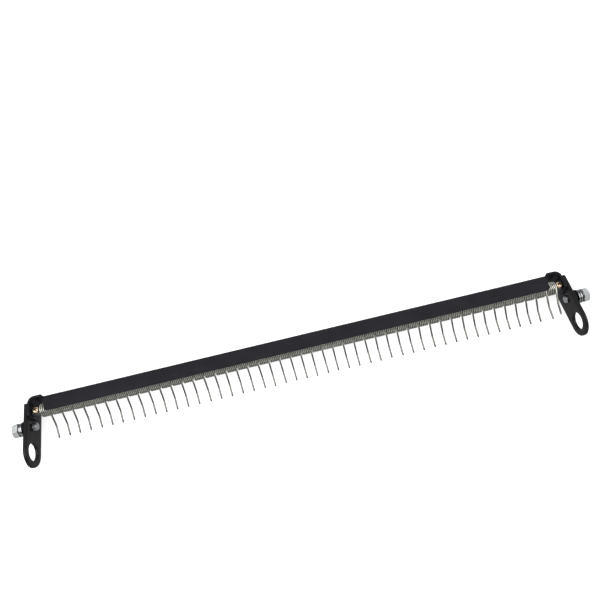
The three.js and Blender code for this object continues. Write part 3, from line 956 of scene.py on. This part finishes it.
@dataclass
class BoltSet:
    """Hexagon bolt with its lock washer and flat washer, screwed through the welded nut."""

    finishes: Finishes
    side: Side
    thread: float = 4.0
    pitch: float = 1.25
    thread_depth: float = 0.6
    flats: float = 13.0
    head: float = 6.3
    flat_washer: float = 7.5
    flat_thickness: float = 1.6
    lock_washer: float = 6.9
    lock_thickness: float = 2.1
    clearance: float = 0.05
    bore: float = 4.3

    def __post_init__(self) -> None:
        """Read the bolt's place from its CAD nodes."""
        low, high = node_box(f"bolt_{self.side.label}")
        self.centre = ((low[1] + high[1]) / 2.0, (low[2] + high[2]) / 2.0)
        self.end, self.top = x_reach(f"bolt_{self.side.label}")
        self.washer_start, self.washer_end = x_reach(f"washers_{self.side.label}")

    def shank(self) -> Surface:
        """Threaded shank with a chamfered end.

        The radius is R - depth w, where w is a triangle wave of x / pitch - a / turn, so that one ridge
        climbs by a pitch in each turn; the end is held under a 45 degree cone.
        """
        angle = np.linspace(0.0, TURN, 48, endpoint=False)
        x = np.arange(self.end, self.top - self.head + 0.5, self.pitch / 10.0)[:, None]
        wave = (x / self.pitch - self.side.value * angle / TURN) % 1.0
        valley = np.abs(2.0 * wave - 1.0)
        radius = self.thread - self.thread_depth * np.clip(1.25 * valley - 0.12, 0.0, 1.0)
        cone = self.thread - 1.0 + (x - self.end)
        radius = np.minimum(radius, cone)
        return grid(around(x, radius, angle, self.centre, self.side), close_columns=True, caps=True)

    def washer(self, start: float, end: float, outside: float) -> Surface:
        """Flat ring with broken edges."""
        edge = 0.25
        profile = np.array([[start, self.bore], [start, outside - edge], [start + edge, outside],
                            [end - edge, outside], [end, outside - edge], [end, self.bore],
                            [start, self.bore]])
        return turned(profile, self.centre, self.side)

    def split_ring(self, start: float, end: float) -> Surface:
        """Split lock washer: a square section that climbs by 0.3 mm round the ring."""
        gap, climb, edge = 0.16, 0.3, 0.2
        angle = np.linspace(gap, TURN - gap, 72) + 0.6
        rise = climb * ((angle - angle[0]) / (angle[-1] - angle[0]))[:, None]
        thick = end - start - climb
        section = np.array([[0.0, self.bore + edge], [edge, self.bore], [thick - edge, self.bore],
                            [thick, self.bore + edge], [thick, self.lock_washer - edge],
                            [thick - edge, self.lock_washer], [edge, self.lock_washer],
                            [0.0, self.lock_washer - edge]])
        points = around(start + rise + section[:, 0], section[:, 1], angle[:, None], self.centre, self.side)
        return grid(points, close_columns=True, caps=True)

    def build(self) -> None:
        """Make the bolt and both washers."""
        label = self.side.label
        seat, face = self.top - self.head, 0.4
        head = hex_body(self.side, self.centre, seat + face, self.top, self.flats, 0.0)
        inside = seat + face + 0.1
        collar = np.array([[seat, 0.0], [seat, self.flats * 0.46],
                           [inside, self.flats * 0.47], [inside, 0.0]])
        body = head + turned(collar, self.centre, self.side) + self.shank()
        settle(make_piece(f"hex_bolt_{label}", body, self.finishes.zinc, crease=28.0), "zinc_plate",
               f"bolt_{label}")
        flat_end = self.washer_start + self.flat_thickness - self.clearance
        flat = self.washer(self.washer_start, flat_end, self.flat_washer)
        settle(make_piece(f"flat_washer_{label}", flat, self.finishes.washer), "washer_zinc",
               f"washers_{label}")
        lock = self.split_ring(self.washer_end - self.lock_thickness, self.washer_end)
        settle(make_piece(f"lock_washer_{label}", lock, self.finishes.washer), "washer_zinc")


@dataclass
class RodScrew:
    """Pan-head screw with a cross recess, through the rod's flat."""

    finishes: Finishes
    side: Side
    shank: float = 2.0
    head_height: float = 3.0
    recess_half: float = 2.2
    recess_width: float = 1.1
    recess_depth: float = 1.8
    recess_turn: float = 0.5
    wall_fade: float = 0.18
    end_fade: float = 0.55
    dome_fall: float = 0.9
    rim_fall: float = 0.55

    def build(self) -> None:
        """Make the screw: a pan-shaped height over a disc, pressed in along a cross.

        The crown falls by 0.9 s^2 + 0.55 s^8 at a share s of the radius, and the recess takes off a depth
        that fades over the width of its walls and towards the ends of the cross.
        """
        low, high = node_box(f"rod_screw_{self.side.label}")
        x0, y0 = (low[0] + high[0]) / 2.0, (low[1] + high[1]) / 2.0
        radius = (high[0] - low[0]) / 2.0
        top, seat = high[2], high[2] - self.head_height
        angle = np.linspace(0.0, TURN, 144, endpoint=False)
        r = np.linspace(0.0, 0.96 * radius, 44)[:, None]
        a, b = r * np.cos(angle - self.recess_turn), r * np.sin(angle - self.recess_turn)
        share = r / radius
        crown = top - self.dome_fall * share ** 2 - self.rim_fall * share ** 8
        arm_width = np.minimum(np.abs(a), np.abs(b))
        wall = np.clip((self.recess_width / 2.0 - arm_width) / self.wall_fade + 0.5, 0.0, 1.0)
        reach = np.clip((self.recess_half - r) / self.end_fade, 0.0, 1.0)
        depth = self.recess_depth * wall * reach * (1.0 - 0.35 * (r / self.recess_half) ** 2)
        dome = joined(x0 + r * np.cos(angle), y0 + r * np.sin(angle), crown - depth)
        rim_z = float(crown[-1, 0])
        skirt = np.array([[radius, rim_z - 0.35], [radius, seat + 0.3], [radius - 0.25, seat],
                          [self.shank, seat], [self.shank, low[2] + 0.4], [self.shank - 0.4, low[2]]])
        below = joined(x0 + skirt[:, :1] * np.cos(angle), y0 + skirt[:, :1] * np.sin(angle), skirt[:, 1:])
        points = np.concatenate([dome, below])
        surface = grid(points, close_columns=True)
        surface.faces.append(((len(points) - 1) * len(angle) + np.arange(len(angle))).tolist())
        piece = make_piece(f"cross_screw_{self.side.label}", surface, self.finishes.chromate, crease=38.0)
        settle(piece, "yellow_chromate", f"rod_screw_{self.side.label}")


# ---------------------------------------------------------------- studio


@dataclass
class Studio:
    """Camera, soft lights and a plain pale floor."""

    lens_mm: float = 34.62
    distance_mm: float = 585.8
    aim_mm: tuple = (12.5, 41.7, 23.9)
    tilt_deg: float = 29.58
    azimuth_deg: float = -1.92
    roll_deg: float = -11.73

    def camera(self) -> None:
        """Place the camera low over the arms' free ends, rolled so that the bar climbs to the right."""
        turn = (Matrix.Rotation(math.radians(self.azimuth_deg), 4, "Z")
                @ Matrix.Rotation(math.radians(self.tilt_deg), 4, "X")
                @ Matrix.Rotation(math.radians(self.roll_deg), 4, "Z"))
        aim = Vector(ROD_CENTRE) + Vector(self.aim_mm) * MM
        data = bpy.data.cameras.new("camera")
        data.lens = self.lens_mm
        data.sensor_width = 36.0
        camera = bpy.data.objects.new("camera", data)
        camera.matrix_world = (Matrix.Translation(aim) @ turn
                               @ Matrix.Translation((0.0, 0.0, self.distance_mm * MM)))
        bpy.context.scene.collection.objects.link(camera)
        bpy.context.scene.camera = camera
        bpy.context.scene.view_settings.view_transform = "Standard"

    def light(self, name: str, place: tuple, size: float, power: float) -> None:
        """Add a square soft light that faces the bar."""
        data = bpy.data.lights.new(name, "AREA")
        data.shape = "SQUARE"
        data.size = size
        data.energy = power
        lamp = bpy.data.objects.new(name, data)
        lamp.location = place
        lamp.rotation_euler = (-Vector(place)).to_track_quat("-Z", "Y").to_euler()
        lamp.visible_camera = False
        bpy.context.scene.collection.objects.link(lamp)

    def surround(self) -> None:
        """Light the bar from all round: a bright horizon between greys, dimmer low down at the sides.

        The strength falls from 1 to a quarter as |x| (1 - |z|) of the direction goes from 0.15 to 0.8.
        """
        world = bpy.data.worlds.new("studio")
        world.use_nodes = True
        tree = world.node_tree
        tree.nodes.clear()
        direction = add_node(tree, "ShaderNodeTexCoord").outputs["Generated"]
        axes = add_node(tree, "ShaderNodeSeparateXYZ", {"Vector": direction}).outputs
        height = add_node(tree, "ShaderNodeMapRange", {"Value": axes["Z"], "From Min": -1.0})
        bands = ramp(tree, height.outputs["Result"], [
            (0.0, "#98999b"), (0.28, "#98999b"), (0.42, "#f4f4f4"), (0.54, "#ffffff"),
            (0.64, "#6c6d6e"), (0.76, "#727374"), (0.90, "#d8d8d8"), (1.0, "#ffffff"),
        ])
        aside = add_node(tree, "ShaderNodeMath", {0: axes["X"]}, operation="ABSOLUTE").outputs["Value"]
        steep = add_node(tree, "ShaderNodeMath", {0: axes["Z"]}, operation="ABSOLUTE").outputs["Value"]
        low = add_node(tree, "ShaderNodeMath", {0: 1.0, 1: steep}, operation="SUBTRACT").outputs["Value"]
        reach = add_node(tree, "ShaderNodeMath", {0: aside, 1: low}, operation="MULTIPLY").outputs["Value"]
        strength = add_node(tree, "ShaderNodeMapRange", {"Value": reach, "From Min": 0.15, "From Max": 0.8,
                                                         "To Min": 1.0, "To Max": 0.25})
        glow = add_node(tree, "ShaderNodeBackground", {"Color": bands,
                                                       "Strength": strength.outputs["Result"]})
        add_node(tree, "ShaderNodeOutputWorld", {"Surface": glow.outputs["Background"]})
        bpy.context.scene.world = world

    def floor(self) -> None:
        """Lay the plain white floor."""
        half = 3.0
        mesh = bpy.data.meshes.new("floor")
        mesh.from_pydata([(-half, -half, 0.0), (half, -half, 0.0), (half, half, 0.0), (-half, half, 0.0)],
                         [], [(0, 1, 2, 3)])
        material, tree, place = new_material("matt_white_board")
        mottle = ramp(tree, noise(tree, place, 60.0, 2.0), [(0.3, "#f4f4f3"), (0.7, "#f9f9f8")])
        output(tree, {"Base Color": mottle, "Roughness": 0.8, "Emission Color": linear("#ffffff"),
                      "Emission Strength": 0.7})
        mesh.materials.append(material)
        floor = bpy.data.objects.new("floor", mesh)
        floor.visible_glossy = False
        bpy.context.scene.collection.objects.link(floor)

    def build(self) -> None:
        """Make the lights, the surrounding light and the floor."""
        self.light("key_light", (-0.9, -0.35, 1.5), 1.5, 12.0)
        self.light("fill_light", (1.2, -0.5, 1.3), 1.4, 8.0)
        self.light("back_light", (0.5, 1.5, 0.7), 0.8, 4.0)
        self.surround()
        self.floor()


def main() -> None:
    """Build the studio and every sub-assembly."""
    logging.basicConfig(level=logging.INFO, format="%(name)s: %(message)s")
    studio = Studio()
    studio.camera()
    studio.build()
    finishes = Finishes()
    SpringRow(finishes).build()
    Rod(finishes).build()
    Channel(finishes).build()
    for side in Side:
        EndBracket(finishes, side).build()
        Arm(finishes, side).build()
        BoltSet(finishes, side).build()
        RodScrew(finishes, side).build()


if __name__ == "__main__":
    main()
